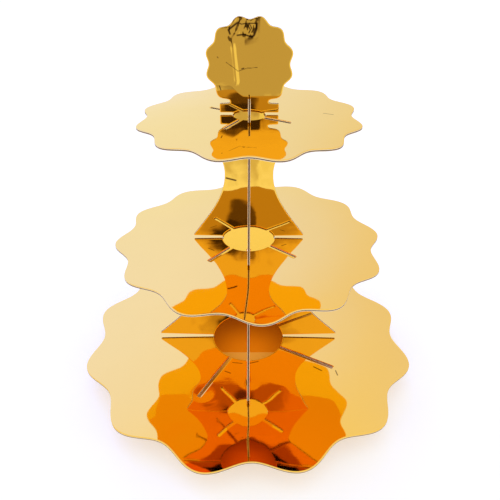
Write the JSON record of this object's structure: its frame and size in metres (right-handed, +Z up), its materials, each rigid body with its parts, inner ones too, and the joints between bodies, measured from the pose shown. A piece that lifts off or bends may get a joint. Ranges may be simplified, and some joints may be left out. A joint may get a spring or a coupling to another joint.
{
  "type": "cake stand",
  "caption": "Tiered cake stand of gold foil-faced corrugated card: scalloped round trays twist-lock onto two upright panels slotted together as a cross, with a scalloped disc finial.",
  "frame": {"origin": "on the table, under the middle of the cross where the two upright panels slot together", "axes": "+Z up; +X to the right along the front panel; -Y towards the front, the side the finial's face looks to"},
  "size_m": [0.2924, 0.2924, 0.3033],
  "materials": {
    "tray_foil": "polished",
    "column_foil": "polished",
    "flute_core": "matte"
  },
  "bodies": {
    "column": {"front_panel_back_liner": "column_foil", "front_panel_flute_core": "flute_core", "front_panel_front_liner": "column_foil", "cross_panel_left_liner": "column_foil", "cross_panel_flute_core": "flute_core", "cross_panel_right_liner": "column_foil"},
    "bottom_tray": {"bottom_tray_under_liner": "tray_foil", "bottom_tray_flute_core": "flute_core", "bottom_tray_top_liner": "tray_foil"},
    "middle_tray": {"middle_tray_under_liner": "tray_foil", "middle_tray_flute_core": "flute_core", "middle_tray_top_liner": "tray_foil"},
    "top_tray": {"top_tray_under_liner": "tray_foil", "top_tray_flute_core": "flute_core", "top_tray_top_liner": "tray_foil"}
  },
  "joints": [
    {"name": "bottom_tray_twist", "type": "hinge", "parent": "column", "child": "bottom_tray", "pos_m": [0, 0, 0.02025], "axis": [0, 0, 1], "range_deg": [-61, 29]},
    {"name": "middle_tray_twist", "type": "hinge", "parent": "column", "child": "middle_tray", "pos_m": [0, 0, 0.13125], "axis": [0, 0, 1], "range_deg": [-50, 40]},
    {"name": "top_tray_twist", "type": "hinge", "parent": "column", "child": "top_tray", "pos_m": [0, 0, 0.2365], "axis": [0, 0, 1], "range_deg": [-60, 30]}
  ]
}
